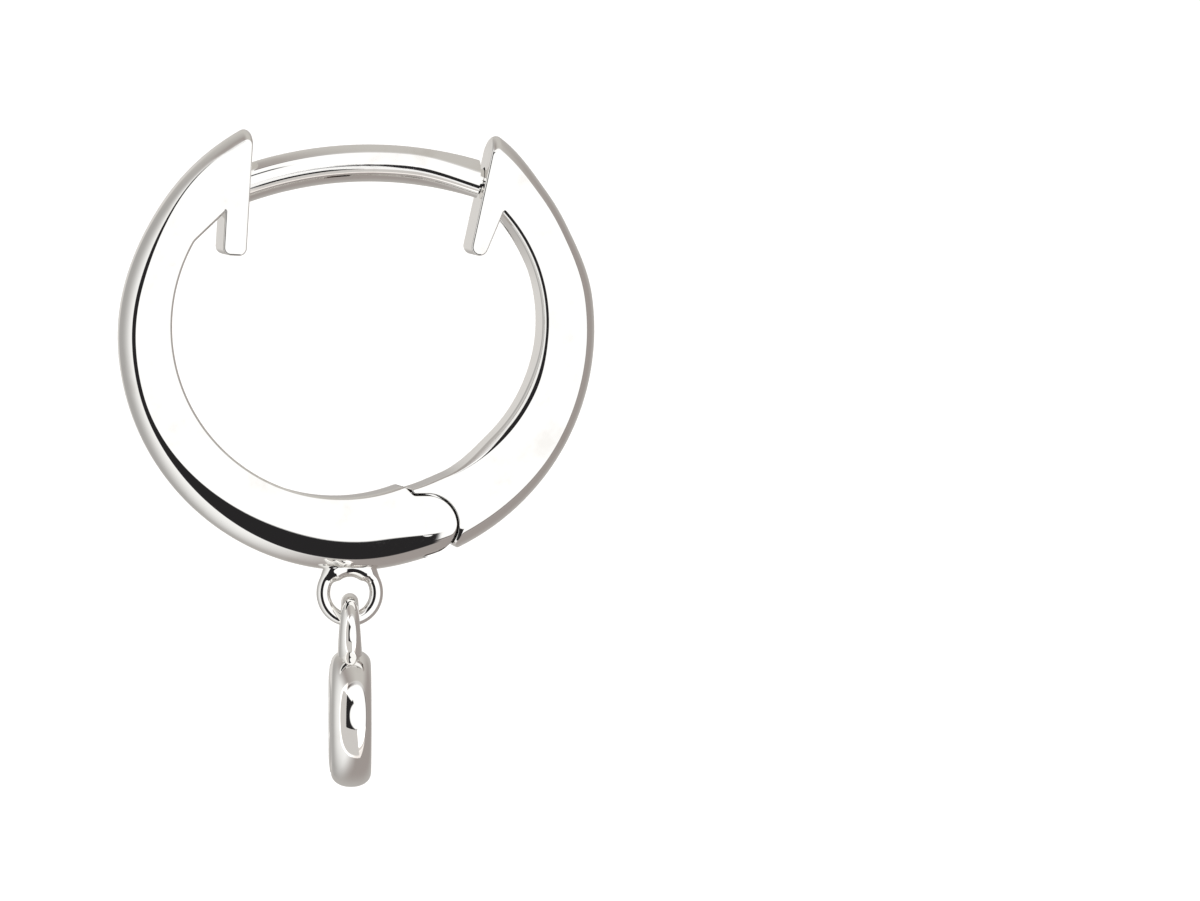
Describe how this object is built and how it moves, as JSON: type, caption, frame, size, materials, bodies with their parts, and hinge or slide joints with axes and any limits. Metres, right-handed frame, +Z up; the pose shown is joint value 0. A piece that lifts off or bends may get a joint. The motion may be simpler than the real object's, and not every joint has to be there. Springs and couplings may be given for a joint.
{
  "type": "hoop charm earring",
  "caption": "Hinged hoop earring of polished white metal, with an arched snap post and a round bezel set stone that hangs free below.",
  "frame": {"origin": "middle of the ear post, where the earring hangs in the ear", "axes": "+Z up as worn, +X from the front of the hoop to its hinged rear half, +Y across the band"},
  "size_m": [0.0137, 0.004, 0.019],
  "materials": {
    "white_gold": "high polish",
    "stone": "faceted and polished"
  },
  "bodies": {
    "front": {"hoop_front": "white_gold", "hinge_pin": "white_gold"},
    "arm": {"hoop_arm": "white_gold"},
    "charm": {"charm_setting": "white_gold", "charm_stone": "stone"}
  },
  "joints": [
    {"name": "arm_open", "type": "hinge", "parent": "front", "child": "arm", "pos_m": [0.00161, 0, -0.01034], "axis": [0, 1, 0], "range_deg": [0, 40]},
    {"name": "charm_swing", "type": "hinge", "parent": "front", "child": "charm", "pos_m": [-0.0005, 0, -0.01302], "axis": [0.9903, -0.1392, 0], "range_deg": [-75, 75]}
  ]
}
